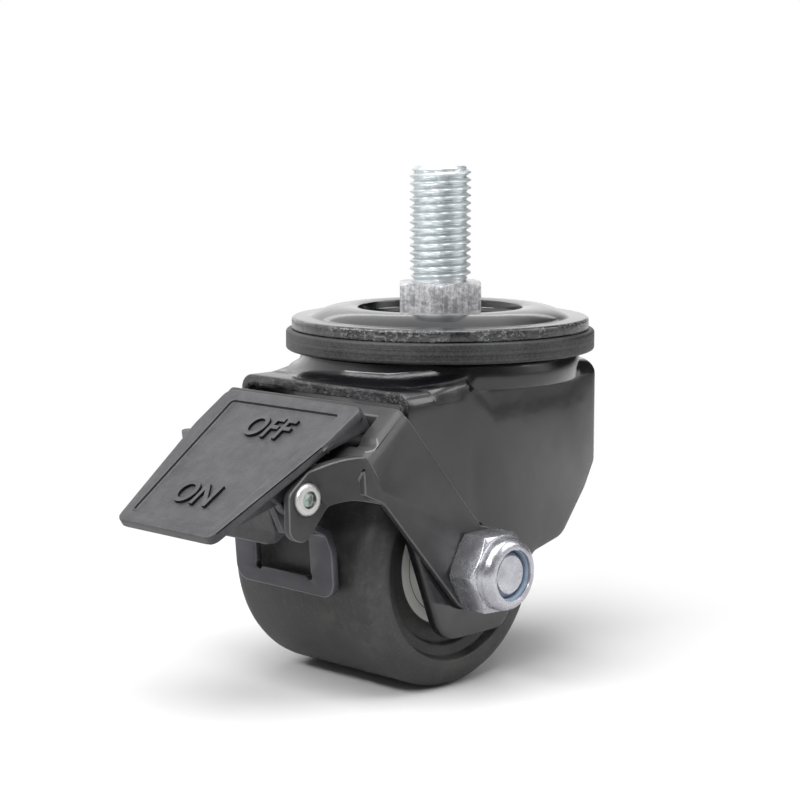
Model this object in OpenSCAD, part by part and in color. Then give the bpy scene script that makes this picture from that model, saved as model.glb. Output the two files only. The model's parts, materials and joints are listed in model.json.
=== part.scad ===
// Low-profile swivel castor with a threaded stem and a pedal brake.
// Millimetres, +Z up. The origin is on the swivel axis, at the top face of the
// stem's hexagon. The axle runs along Y, and the pedal points towards -X.

/* [Stem] */
// Outside diameter of the stem's thread
stem_d = 16; // [10:1:18]
// Length of the threaded stem above the hexagon
stem_len = 30; // [15:1:60]
// Width of the hexagon across its flats
hex_af = 21; // [19:0.5:26]
// Height of the hexagon
hex_h = 9.6; // [7:0.2:14]
// Turn of the hexagon about the swivel axis
hex_turn = 49; // [0:1:60]
// Diameter of the king pin below the hexagon
pin_d = 14; // [10:0.5:15]
// Height of the king pin's nut
pin_nut_h = 7; // [5:0.5:10]

/* [Swivel head] */
// Diameter of the top plate
plate_d = 77.8; // [74:0.2:84]
// Thickness of the top plate's sheet
plate_t = 3.2; // [2.6:0.1:3.6]
// Width of the flat rim outside the raised ring
rim_w = 4.9; // [3:0.1:5.5]
// Height of the raised ring above the flat rim
bulge_h = 2.75; // [2.2:0.05:3.4]
// Diameter of the hollow inside the raised ring
hollow_d = 43; // [41:0.5:44]
// How far the seal ring stands out past the top plate
seal_lip = 1.5; // [0.8:0.1:2.5]
// Height of the seal ring
seal_h = 5.2; // [3.6:0.1:5.8]
// Diameter of the upper balls
upper_ball_d = 6; // [5.4:0.1:6.2]
// Diameter of the lower balls
lower_ball_d = 5.56; // [4.6:0.02:6]
// Diameter of the lower balls' pitch circle
lower_pitch_d = 33; // [30:0.5:36]
// Thickness of the lower race
race_t = 3.2; // [2.4:0.1:4]

/* [Fork] */
// Width of the fork over its two flat sides
fork_w = 60; // [58:0.2:64]
// Thickness of the fork's sheet
fork_t = 3; // [2.4:0.1:3.4]
// Height of the fork's crown above its shoulder
crown_h = 5.65; // [5:0.05:7]
// How far the front lip lies below the shoulder
lip_step = 2.5; // [1.5:0.1:3.5]
// How far the front lip reaches in front of the axle
lip_ahead = 22.7; // [21:0.1:25]
// How far the axle trails the swivel axis
trail = 20.4; // [17:0.2:24]
// How far the legs reach below the axle
leg_drop = 17.4; // [15.5:0.1:20]

/* [Wheel] */
// Diameter of the wheel
wheel_d = 63.4; // [58:0.2:70]
// Clearance between the wheel's sides and the legs, each side
wheel_side_gap = 1.5; // [1:0.1:3]
// Radius of the tread's rounded shoulders
tread_r = 5.4; // [3:0.1:7]
// Height between the king pin's end and the wheel
wheel_top_gap = 2.9; // [1.5:0.1:6]
// Diameter of the axle bolt
axle_d = 12; // [10:0.5:12]
// Outside diameter of the ball bearings
bearing_d = 32; // [31:0.5:34]
// Width of one ball bearing
bearing_w = 10; // [9:0.5:12]
// Diameter of the bearing's balls
bearing_ball_d = 5.95; // [5:0.05:6.1]
// How deep the bearings sit inside the wheel's sides
bearing_sink = 4.5; // [3:0.1:6]

/* [Axle nut] */
// Width of the nut and of the bolt's head across their flats
nut_af = 19; // [18:0.5:22]
// Height of the lock nut with its collar
nut_h = 12; // [11:0.5:14]
// Height of the bolt's head
head_h = 7.5; // [6:0.5:9]
// How far the bolt's end lies inside the nut's collar
bolt_short = 1.5; // [1:0.1:3.4]

/* [Bracket] */
// Thickness of the bracket's sheet
bracket_t = 2; // [1.5:0.1:2.4]
// Distance over the two arm tips
arm_span = 44.6; // [43.6:0.2:46]
// Downward slope of the bracket's web
web_slope = 39; // [35:0.5:42]
// Diameter of the rivet that the pedal turns on
rivet_d = 5; // [4:0.1:5.4]
// Diameter of the rivet's heads
rivet_head_d = 7.8; // [7:0.1:8.4]

/* [Pedal] */
// Length of the pedal's plate
pedal_len = 49.8; // [40:0.2:56]
// Width of the pedal at its inner end
pedal_w_in = 48.4; // [46:0.2:49]
// Width of the pedal at its outer end
pedal_w_out = 34.2; // [30:0.2:44]
// Thickness of the pedal's plate
pedal_t = 2.5; // [2:0.1:2.7]
// Depth of the recessed panel on the pedal
panel_depth = 0.7; // [0.4:0.1:1.2]
// Downward slope of the pedal when it is off
pedal_slope = 32.2; // [30.5:0.1:33]

/* [Brake plate] */
// Thickness of the brake plate
brake_t = 2; // [1.4:0.1:2.2]
// Width of the brake plate
brake_w = 35.2; // [33:0.2:38]
// Width of the window in the brake plate
window_w = 19.6; // [14:0.2:22]
// Gap between the brake plate's foot and the wheel
brake_gap = 2.2; // [1.9:0.1:3]

/* [Hidden] */
$fn = 96;

// Radial clearance of pieces that fit closely
fit = 0.05;
// Play of a ball in its race
ball_play = 0.1;
// Depth to which the balls sink into a race
race_sink = 0.75;
// Height of the flat rim above the top plate's floor
rim_rise = 0.6;

// Levels of the swivel head, from the hexagon down
stem_r = stem_d / 2;
pin_r = pin_d / 2;
floor_z = -hex_h;
rim_z = floor_z + rim_rise;
pitch = 2;
root_r = stem_r - 0.6 * pitch;
grooves = floor((stem_len - 2) / pitch);
thread_end = stem_len - 1.3;
plate_r = plate_d / 2;
bulge_r = plate_r - rim_w;
hollow_r = hollow_d / 2;
peak_r = hollow_r + 3.5;
peak_z = rim_z + bulge_h;
bulge_arc = (pow(bulge_r - peak_r, 2) + pow(bulge_h, 2)) / (2 * bulge_h);
upper_r = upper_ball_d / 2;
upper_pitch_r = hollow_r + 4.2;
upper_z = peak_z - plate_t - 0.15 - upper_r;
crown_z = upper_z - upper_r + race_sink;
under_z = crown_z - fork_t;
lower_r = lower_ball_d / 2;
lower_pitch_r = lower_pitch_d / 2;
lower_z = under_z + race_sink - lower_r;
race_z = lower_z - lower_r + race_sink;
race_r = lower_pitch_r + lower_r + 1.8;
nut_z = race_z - race_t;
pin_end_z = nut_z - pin_nut_h - 1.8;

// The fork's own levels and outlines
fork_y = fork_w / 2;
inner_y = fork_y - fork_t;
shoulder_z = crown_z - crown_h;
lip_z = shoulder_z - lip_step;
shoulder_r = 3.8;
dish_r = plate_r - 2.6;
back_r = plate_r + 1.9;
pin_hole_r = pin_r + 4;

// The axle, the wheel and its bearings
wheel_r = wheel_d / 2;
axle_x = -trail;
axle_z = pin_end_z - wheel_top_gap - wheel_r;
axle_r = axle_d / 2;
lip_x = axle_x - lip_ahead;
wheel_y = inner_y - wheel_side_gap;
bearing_r = bearing_d / 2;
bearing_y = wheel_y - bearing_sink;
bearing_mid = bearing_y - bearing_w / 2;
inner_ring_r = axle_r + 3.2;
outer_ring_r = bearing_r - 3.1;
bearing_pitch_r = (inner_ring_r + outer_ring_r) / 2;
bearing_ball_r = bearing_ball_d / 2;
balls_per_bearing = 7;
recess_r = wheel_r - tread_r - 1.9;
step_r = recess_r - 4;
bracket_y = fork_y + bracket_t;

// The pedal's rivet and the places of the brake's pieces
tip_y = arm_span / 2;
tip_in = tip_y - bracket_t;
pivot_x = axle_x - wheel_r - 17.2;
pivot_z = lip_z - fork_t - 19.9;
rivet_r = rivet_d / 2;
rivet_head_r = rivet_head_d / 2;
rivet_head_h = 1.3;
pivot_depth = 8.2;
pivot_s = 25.1;
web_x = lip_x - 3.1;
web_z = lip_z - fork_t - 0.2;
crease_x = pivot_x + 7.8;
crease_z = pivot_z + 9.8;
arm_dip = 34.8;
arm_run = 7.8;
ear_y = 14.9;
lug_in = 15.6;
lug_out = 18.4;
cam_y = 12.3;
band_r = nut_af / 2 + 1.1;
round_n = 6;

// Points of an arc
function arc(cx, cy, r, a0, a1, n = 10) =
    [for (i = [0 : n]) [cx + r * cos(a0 + (a1 - a0) * i / n), cy + r * sin(a0 + (a1 - a0) * i / n)]];

function unit(v) = v / norm(v);

// One rounded corner at b, between a and c, with radius r
function corner(a, b, c, r) =
    let (u = unit(a - b), v = unit(c - b), half = acos(u * v) / 2, mid = unit(u + v),
         m = b + mid * (r / sin(half)), t0 = b + u * (r / tan(half)), t1 = b + v * (r / tan(half)),
         a0 = atan2(t0[1] - m[1], t0[0] - m[0]), turn = atan2(t1[1] - m[1], t1[0] - m[0]) - a0,
         da = turn > 180 ? turn - 360 : turn < -180 ? turn + 360 : turn)
    [for (i = [0 : round_n]) m + r * [cos(a0 + da * i / round_n), sin(a0 + da * i / round_n)]];

// Outline whose corners are [x, y, radius], with radius 0 for a sharp one
function rounded(p) =
    let (n = len(p), q = [for (v = p) [v[0], v[1]]])
    [for (i = [0 : n - 1])
        each (p[i][2] > 0 ? corner(q[(i + n - 1) % n], q[i], q[(i + 1) % n], p[i][2]) : [q[i]])];

// A place on the pedal, as an offset in X and Z from its rivet
function on_pedal(s, n) =
    [-cos(pedal_slope) * (s - pivot_s) - sin(pedal_slope) * (n + pivot_depth),
     -sin(pedal_slope) * (s - pivot_s) + cos(pedal_slope) * (n + pivot_depth)];

// Extrudes an outline in X and Z from y0 to y1
module slab(y0, y1) {
    translate([0, y1, 0])
        rotate([90, 0, 0])
            linear_extrude(y1 - y0)
                children();
}

module both_sides() {
    children();
    mirror([0, 1, 0])
        children();
}

// Turns a half section of radius and width about the axle
module about_axle() {
    translate([axle_x, 0, axle_z])
        rotate([-90, 0, 0])
            rotate_extrude()
                children();
}

module ring_section(r0, r1, z0, z1) {
    translate([r0, z0])
        square([r1 - r0, z1 - z0]);
}

module ball_circle(count, pitch_r, r) {
    for (i = [0 : count - 1])
        rotate([0, 0, 360 * i / count])
            translate([pitch_r, 0, 0])
                sphere(r);
}

// Hexagon with both ends turned down at its corners
module hexagon(af, h, chamfer_low, chamfer_high) {
    corner_r = af / sqrt(3);
    intersection() {
        cylinder(h = h, r = corner_r, $fn = 6);
        rotate_extrude()
            polygon([[0, 0], [corner_r - chamfer_low, 0], [corner_r, chamfer_low * 0.58],
                     [corner_r, h - chamfer_high * 0.58], [corner_r - chamfer_high, h], [0, h]]);
    }
}

// One ring of the thread: flank, crest and flank, from the groove below it
function thread_ring(z) =
    [[root_r, z - 0.35 * pitch], [stem_r, z - 0.1 * pitch], [stem_r, z + 0.15 * pitch], [root_r, z + 0.4 * pitch]];

module threaded_stem() {
    color("silver") {
        rotate_extrude()
            polygon(concat([[0, pin_end_z], [pin_r - 1, pin_end_z], [pin_r, pin_end_z + 1], [pin_r, floor_z + 0.5],
                            [root_r, floor_z + 0.5]],
                           [for (i = [0 : grooves - 1]) each thread_ring(1.6 + i * pitch)],
                           [[root_r, thread_end], [stem_r - 1.3, stem_len], [0, stem_len]]));
        translate([0, 0, floor_z])
            rotate([0, 0, hex_turn])
                hexagon(hex_af, hex_h, 0.3, 1.3);
    }
}

// Half section of the top plate: floor, raised ring between two arcs, flat rim
module top_plate_section() {
    inner_arc = bulge_arc - plate_t;
    centre_z = peak_z - bulge_arc;
    a0 = acos((hollow_r - peak_r) / bulge_arc);
    a1 = asin((rim_z - centre_z) / bulge_arc);
    b0 = acos((hollow_r + 2 - peak_r) / inner_arc);
    b1 = asin((rim_z - plate_t - centre_z) / inner_arc);
    polygon(concat([[pin_r + fit, floor_z - plate_t], [pin_r + fit, floor_z],
                    [hollow_r - 1.2, floor_z], [hollow_r, floor_z + 1]],
                   arc(peak_r, centre_z, bulge_arc, a0, a1, 14),
                   corner([bulge_r, rim_z], [plate_r, rim_z], [plate_r, rim_z - plate_t], 0.9),
                   corner([plate_r, rim_z], [plate_r, rim_z - plate_t], [bulge_r, rim_z - plate_t], 0.5),
                   arc(peak_r, centre_z, inner_arc, b1, b0, 12),
                   [[hollow_r - 1, floor_z - plate_t]]));
}

module top_plate() {
    color("dimgray")
        rotate_extrude()
            top_plate_section();
}

// Soft ring under the plate's rim that keeps dust out of the balls
module seal_ring() {
    top = rim_z - plate_t;
    out_r = plate_r + seal_lip;
    color("dimgray")
        rotate_extrude()
            polygon(rounded([[plate_r - 2, top - 1.5, 0], [out_r - 2.4, top - 1.5, 0.6],
                             [out_r - 2.4, top - seal_h, 0.3], [out_r, top - seal_h, 0.7],
                             [out_r, top, 0.8], [plate_r - 2, top, 0]]));
}

module upper_balls() {
    color("silver")
        translate([0, 0, upper_z])
            ball_circle(22, upper_pitch_r, upper_r);
}

module lower_balls() {
    color("silver")
        translate([0, 0, lower_z])
            ball_circle(14, lower_pitch_r, lower_r);
}

// Race below the crown, with an upturned rim round its balls
module lower_race() {
    color("gray")
        difference() {
            rotate_extrude()
                polygon(rounded([[pin_r + fit, nut_z, 0], [race_r, nut_z, 1.6], [race_r, lower_z, 0],
                                 [race_r - 1.4, lower_z, 0], [race_r - 1.4, race_z, 0], [pin_r + fit, race_z, 0]]));
            translate([0, 0, lower_z])
                rotate_extrude()
                    translate([lower_pitch_r, 0])
                        circle(lower_r + ball_play);
        }
}

module king_pin_nut() {
    color("silver")
        translate([0, 0, nut_z - pin_nut_h])
            difference() {
                hexagon(pin_d * 1.5, pin_nut_h, 1, 0.8);
                translate([0, 0, -1])
                    cylinder(h = pin_nut_h + 2, r = pin_r + fit);
            }
}

// Turned form of the crown: raised dish, round shoulder and back wall.
// drop and wall take the sheet's thickness off the top and the walls.
module crown_form(drop, wall) {
    low_z = axle_z - leg_drop - 5;
    rotate_extrude()
        polygon(rounded([[0, low_z, 0], [back_r - wall, low_z, 0],
                         [back_r - wall, shoulder_z - drop, max(shoulder_r - wall, 0.6)],
                         [dish_r - wall + 0.6, shoulder_z - drop, 0.5],
                         [dish_r - wall - 1.2, crown_z - drop, max(2.8 - wall / 3, 0.8)],
                         [0, crown_z - drop, 0]]));
}

// Straight channel along X with rounded upper edges
module channel_form(half, top, x0, x1, r, low_z = axle_z - leg_drop - 4) {
    translate([x0, 0, 0])
        rotate([90, 0, 90])
            linear_extrude(x1 - x0)
                polygon(rounded([[-half, low_z, 0], [half, low_z, 0], [half, top, r], [-half, top, r]]));
}

module fork_form(drop, wall, front) {
    half = fork_y - wall;
    edge_r = max(shoulder_r - wall, 0.6);
    ramp_end = -sqrt(pow(dish_r + 0.6, 2) - pow(fork_y, 2));
    ramp_run = 13;
    intersection() {
        crown_form(drop, wall);
        union() {
            channel_form(half, shoulder_z - drop, ramp_end, back_r, edge_r);
            translate([0, 0, shoulder_z - drop - edge_r])
                cylinder(h = 20, r = dish_r - wall + 0.3);
        }
    }
    // Ramp that raises the tongue's top to the shoulder
    translate([ramp_end, 0, shoulder_z - drop])
        rotate([0, -atan(lip_step / ramp_run), 0])
            translate([0, 0, -shoulder_z])
                channel_form(half, shoulder_z, -ramp_run, 0.5, edge_r, shoulder_z - 9);
    channel_form(half, lip_z - drop, front, 0, edge_r);
}

// Side outline of the fork: front lip, leg and slanted rear edge
module fork_outline() {
    lip_under = lip_z - fork_t;
    polygon(rounded([
        [lip_x, crown_z + 5, 0],
        [lip_x, lip_under - 4, 0],
        [axle_x - 20.9, axle_z + 9, 8],
        [axle_x - 10.6, axle_z - leg_drop, 8],
        [axle_x + 12, axle_z - leg_drop, 6],
        [axle_x + 24, axle_z + 0.2, 3],
        [axle_x + 35.3, axle_z + 2.9, 7],
        [axle_x + 44.6, axle_z + 14.6, 16],
        [axle_x + 50, axle_z + 24.5, 20],
        [back_r + 4, shoulder_z - 12, 0],
        [back_r + 4, crown_z + 5, 0]]));
}

module fork() {
    color("dimgray")
        difference() {
            intersection() {
                difference() {
                    fork_form(0, 0, lip_x);
                    fork_form(fork_t, fork_t, lip_x - 5);
                }
                slab(-back_r, back_r)
                    fork_outline();
            }
            translate([0, 0, under_z - 1])
                cylinder(h = fork_t + 2, r = pin_hole_r);
            translate([0, 0, upper_z])
                rotate_extrude()
                    translate([upper_pitch_r, 0])
                        circle(upper_r + ball_play);
            translate([0, 0, lower_z])
                rotate_extrude()
                    translate([lower_pitch_r, 0])
                        circle(lower_r + ball_play);
            axle_bore(fork_y + 1);
        }
}

module axle_bore(half) {
    translate([axle_x, half, axle_z])
        rotate([90, 0, 0])
            cylinder(h = 2 * half, r = axle_r + fit);
}

module rivet_bore(half) {
    translate([pivot_x, half, pivot_z])
        rotate([90, 0, 0])
            cylinder(h = 2 * half, r = rivet_r + fit);
}

// Side outline of the bracket's web and bands, without its arms
module bracket_outline() {
    web_run = 7.6;
    end_x = web_x - web_run;
    end_z = web_z - web_run * tan(web_slope);
    polygon(rounded([
        [web_x, web_z, 0],
        [end_x, end_z, 0.8],
        [end_x - 0.9, end_z - 2.2, 2.6],
        [crease_x + 1.5, crease_z + 0.2, 1],
        [crease_x + 2, crease_z - 9, 0],
        [crease_x + 8.3, crease_z - 11.9, 3],
        [axle_x - band_r * 0.74, axle_z - band_r * 0.67, 0],
        [axle_x, axle_z, 0],
        [axle_x + band_r * 0.12, axle_z + band_r * 0.99, 0],
        [web_x + 0.4, web_z - 1.6, 0]]));
    translate([axle_x, axle_z])
        circle(band_r);
}

// Bent sheet whose web slopes down and whose sides run down the legs
module bracket_channel() {
    low = 70;
    translate([web_x, 0, web_z])
        rotate([0, -web_slope, 0])
            rotate([90, 0, 90])
                translate([0, 0, -60])
                    linear_extrude(90)
                        difference() {
                            polygon(rounded([[-bracket_y, -low, 0], [bracket_y, -low, 0],
                                             [bracket_y, 0, 3], [-bracket_y, 0, 3]]));
                            polygon(rounded([[-fork_y, -low - 1, 0], [fork_y, -low - 1, 0],
                                             [fork_y, -bracket_t, 1], [-fork_y, -bracket_t, 1]]));
                        }
}

// Joggled sheets that carry the two arms from the bracket's sides to the rivet
module arm_sheets() {
    lateral = bracket_y - tip_y;
    bend = bracket_t * tan(atan2(lateral, arm_run) / 2);
    translate([crease_x, 0, crease_z])
        rotate([0, 180 - arm_dip, 0])
            linear_extrude(80, center = true)
                for (side = [-1, 1])
                    polygon([for (v = rounded([
                        [-2, bracket_y, 0], [0, bracket_y, 2.6], [arm_run, tip_y, 0.8], [40, tip_y, 0],
                        [40, tip_in, 0], [arm_run - bend, tip_in, 2.6], [-bend, fork_y, 0.8],
                        [-2, fork_y, 0]])) [v[0], side * v[1]]]);
}

// Side outline of an arm, with its tip hanging below the rivet
module arm_outline() {
    translate([pivot_x, pivot_z])
        polygon(rounded([
            [11, 10, 0], [5.8, 10.1, 8], [0.3, 6.1, 6], [-5.5, 1.6, 3], [-5.3, -8.7, 3.4],
            [-0.3, -10.7, 3], [9.1, -0.5, 6], [16.6, -2.4, 0], [15, 3, 0]]));
}

module brake_bracket() {
    slot_x = web_x - 2.4;
    color("dimgray")
        difference() {
            union() {
                intersection() {
                    bracket_channel();
                    slab(-bracket_y - 1, bracket_y + 1)
                        bracket_outline();
                }
                intersection() {
                    arm_sheets();
                    slab(-bracket_y - 1, bracket_y + 1)
                        arm_outline();
                }
            }
            translate([slot_x - 7, -pedal_w_in / 2 - 1, web_z - 12])
                cube([7, pedal_w_in + 2, 14]);
            axle_bore(bracket_y + 1);
            rivet_bore(tip_y + 1);
        }
}

module axle_bolt() {
    end_y = bracket_y + nut_h - bolt_short;
    color("silver") {
        translate([axle_x, 0, axle_z])
            rotate([90, 0, 0])
                rotate_extrude()
                    polygon([[0, -bracket_y - 1], [axle_r, -bracket_y - 1], [axle_r, end_y - 1],
                             [axle_r - 0.9, end_y], [0, end_y]]);
        translate([axle_x, bracket_y, axle_z])
            rotate([-90, 0, 0])
                rotate([0, 0, 10])
                    hexagon(nut_af, head_h, 0.2, 1.4);
    }
}

// Lock nut with a rounded collar over its soft insert
module axle_nut() {
    hex_part = nut_h * 0.68;
    collar_r = nut_af / 2 - 0.4;
    color("silver")
        translate([axle_x, -bracket_y, axle_z])
            rotate([90, 0, 0])
                difference() {
                    union() {
                        hexagon(nut_af, hex_part, 1.1, 1.5);
                        rotate_extrude()
                            polygon(rounded([[0, 1, 0], [collar_r, 1, 0], [collar_r, nut_h, 2.4], [0, nut_h, 0]]));
                    }
                    translate([0, 0, -1])
                        cylinder(h = nut_h + 2, r = axle_r + fit);
                    translate([0, 0, nut_h - 3.6])
                        cylinder(h = 2.8, r = axle_r + 1.4);
                    translate([0, 0, nut_h - 1])
                        cylinder(h = 2, r = axle_r + 0.3);
                }
}

module nut_insert() {
    color("lightsteelblue")
        translate([axle_x, -bracket_y - nut_h + 3.6, axle_z])
            rotate([90, 0, 0])
                difference() {
                    cylinder(h = 2.8, r = axle_r + 1.4);
                    translate([0, 0, -1])
                        cylinder(h = 5, r = axle_r + fit);
                }
}

// Spacers between the bearings and the legs
module axle_spacers() {
    color("silver")
        about_axle()
            for (side = [-1, 1])
                polygon(rounded([[axle_r + fit, side * bearing_y, 0], [axle_r + 2.6, side * bearing_y, 0],
                                 [axle_r + 3.6, side * (bearing_y + 1.5), 0], [axle_r + 3.6, side * inner_y, 0],
                                 [axle_r + fit, side * inner_y, 0]]));
}

// Tube that holds the two bearings apart
module axle_sleeve() {
    half = bearing_y - bearing_w;
    color("silver")
        about_axle()
            ring_section(axle_r + fit, axle_r + 2.4, -half, half);
}

module bearing_pair() {
    for (side = [-1, 1])
        translate([axle_x, side * bearing_mid, axle_z])
            rotate([-90, 0, 0])
                children();
}

module bearing_inner_rings() {
    color("silver")
        bearing_pair()
            rotate_extrude()
                difference() {
                    ring_section(axle_r + fit, inner_ring_r, -bearing_w / 2, bearing_w / 2);
                    translate([bearing_pitch_r, 0])
                        circle(bearing_ball_r + fit);
                }
}

module bearing_outer_rings() {
    color("silver")
        bearing_pair()
            rotate_extrude()
                difference() {
                    ring_section(outer_ring_r, bearing_r, -bearing_w / 2, bearing_w / 2);
                    translate([bearing_pitch_r, 0])
                        circle(bearing_ball_r + fit);
                }
}

module bearing_balls() {
    color("silver")
        bearing_pair()
            ball_circle(balls_per_bearing, bearing_pitch_r, bearing_ball_r);
}

module bearing_cages() {
    half = bearing_ball_r + 0.9;
    color("goldenrod")
        bearing_pair()
            difference() {
                rotate_extrude()
                    ring_section(bearing_pitch_r - 0.8, bearing_pitch_r + 0.8, -half, half);
                for (i = [0 : balls_per_bearing - 1])
                    rotate([0, 90, 360 * i / balls_per_bearing])
                        cylinder(h = bearing_r, r = bearing_ball_r + 0.08);
            }
}

module bearing_shields() {
    color("lightgray")
        bearing_pair()
            for (side = [-1, 1])
                rotate_extrude()
                    ring_section(inner_ring_r + 0.25, outer_ring_r - 0.03,
                                 side * (bearing_w / 2 - 0.5) - 0.25, side * (bearing_w / 2 - 0.5) + 0.25);
}

// Moulded wheel with rounded shoulders and stepped hollows in its sides
module wheel() {
    pocket_r = bearing_r + 0.03;
    color("dimgray")
        about_axle()
            difference() {
                polygon(rounded([[0, -wheel_y, 0], [wheel_r, -wheel_y, tread_r],
                                 [wheel_r, wheel_y, tread_r], [0, wheel_y, 0]]));
                for (side = [-1, 1])
                    polygon([[0, side * (wheel_y + 1)], [recess_r + 0.3, side * (wheel_y + 1)],
                             [recess_r, side * wheel_y], [recess_r - 0.8, side * (wheel_y - 2.6)],
                             [step_r + 0.5, side * (wheel_y - 2.6)], [step_r, side * (bearing_y + 0.4)],
                             [pocket_r, side * (bearing_y + 0.4)], [pocket_r, side * (bearing_y - bearing_w)],
                             [0, side * (bearing_y - bearing_w)]]);
                ring_section(-1, outer_ring_r - 0.4, -wheel_y, wheel_y);
            }
}

// Semi-tubular rivet through the arms, with a hollow in its near end
module pedal_rivet() {
    color("silver")
        translate([pivot_x, 0, pivot_z])
            rotate([90, 0, 0])
                rotate_extrude()
                    difference() {
                        union() {
                            ring_section(0, rivet_r, -tip_y - 0.2, tip_y + 0.2);
                            polygon(rounded([[0, tip_y, 0], [rivet_head_r, tip_y, 0],
                                             [rivet_head_r, tip_y + rivet_head_h, 0.9],
                                             [0, tip_y + rivet_head_h, 0]]));
                            polygon(rounded([[0, -tip_y, 0], [0, -tip_y - rivet_head_h, 0],
                                             [rivet_head_r, -tip_y - rivet_head_h, 0.9],
                                             [rivet_head_r, -tip_y, 0]]));
                        }
                        polygon([[-1, tip_y + 0.2], [rivet_head_r * 0.44, tip_y + 0.2],
                                 [rivet_head_r * 0.54, tip_y + rivet_head_h + 0.1], [-1, tip_y + rivet_head_h + 0.1]]);
                    }
}

// Half width of the pedal at a distance from its inner end
function pedal_half(s) =
    let (w0 = pedal_w_in / 2, w1 = pedal_w_in / 2 - 0.5, w2 = pedal_w_out / 2, knee = pedal_len * 0.28)
    s < knee ? w0 + (w1 - w0) * s / knee : w1 + (w2 - w1) * (s - knee) / (pedal_len - knee);

module pedal_plan(r) {
    knee = pedal_len * 0.28;
    polygon(rounded([[0, pedal_half(0), r], [knee, pedal_half(knee), 20], [pedal_len, pedal_half(pedal_len), r],
                     [pedal_len, -pedal_half(pedal_len), r], [knee, -pedal_half(knee), 20], [0, -pedal_half(0), r]]));
}

// Moves the pedal's own frame to its place: distance out, width, height
module pedal_frame() {
    translate([pivot_x, 0, pivot_z])
        rotate([0, -pedal_slope, 0])
            rotate([0, 0, 180])
                translate([-pivot_s, 0, pivot_depth])
                    children();
}

module brake_pedal() {
    nose = 6.3;
    panel_in = 3.9;
    panel_out = pedal_len - 3.6;
    color("dimgray")
        difference() {
            union() {
                pedal_frame() {
                    translate([0, 0, -pedal_t])
                        linear_extrude(pedal_t)
                            pedal_plan(2.4);
                    pedal_nose(nose);
                    pedal_ribs();
                }
                pedal_lugs();
                pedal_cam();
            }
            pedal_frame()
                translate([0, 0, -panel_depth])
                    linear_extrude(2)
                        polygon(rounded([
                            [panel_in, pedal_half(panel_in) - 4.9, 1], [panel_out, pedal_half(panel_out) - 3, 1],
                            [panel_out, 3 - pedal_half(panel_out), 1], [panel_in, 4.9 - pedal_half(panel_in), 1]]));
            rivet_bore(lug_out + 1);
        }
}

// Skirt across the inner end, with a tapering wall along each side
module pedal_nose(depth) {
    half = pedal_half(0) - 0.4;
    wall = 1.9;
    translate([0, half, 0])
        rotate([90, 0, 0])
            linear_extrude(2 * half)
                polygon(rounded([[0.3, -0.8, 0], [0.3, -depth, 1], [2.3, -depth, 0.6], [2.9, -0.8, 0]]));
    both_sides()
        translate([0, half, 0])
            rotate([90, 0, 0])
                linear_extrude(wall)
                    polygon([[0.8, -1], [0.8, 0.5 - depth], [2.4, 0.3 - depth], [14, -pedal_t], [16, -1]]);
}

// Stiffening ribs under the plate, outboard of the lugs
module pedal_ribs() {
    both_sides()
        translate([0, lug_in + 2, 0])
            rotate([90, 0, 0])
                linear_extrude(1.8)
                    polygon([[pivot_s, -1], [pivot_s + 1, -8], [pedal_len - 8, -pedal_t - 0.8], [pedal_len - 6, -1]]);
}

module pedal_lugs() {
    both_sides()
        translate([pivot_x, 0, pivot_z])
            slab(lug_in, lug_out) {
                polygon([on_pedal(pivot_s - 9, -1.5), on_pedal(pivot_s - 4, -pivot_depth),
                         on_pedal(pivot_s + 4, -pivot_depth), on_pedal(pivot_s + 7, -1.5)]);
                circle(4.6);
            }
}

// Cam between the lugs that swings towards the wheel when the pedal goes down
module pedal_cam() {
    low = 12.6;
    translate([pivot_x, 0, pivot_z])
        intersection() {
            slab(-cam_y, cam_y)
                polygon(rounded([
                    [on_pedal(pivot_s + 8, -1.5)[0], on_pedal(pivot_s + 8, -1.5)[1], 0],
                    [-2.7, -3.2, 2], [-0.8, -9.2, 2], [-0.9, -low, 0.8], [3.3, -low - 0.3, 1.2], [4.4, -7.5, 3],
                    [5, -1, 2], [on_pedal(pivot_s - 8, -1.5)[0], on_pedal(pivot_s - 8, -1.5)[1], 0]]));
            translate([-15, 0, 0])
                rotate([90, 0, 90])
                    linear_extrude(30)
                        polygon([[-cam_y, 12], [-cam_y, -9.3], [-cam_y + 3.8, -low - 0.5],
                                 [cam_y - 3.8, -low - 0.5], [cam_y, -9.3], [cam_y, 12]]);
        }
}

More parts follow.
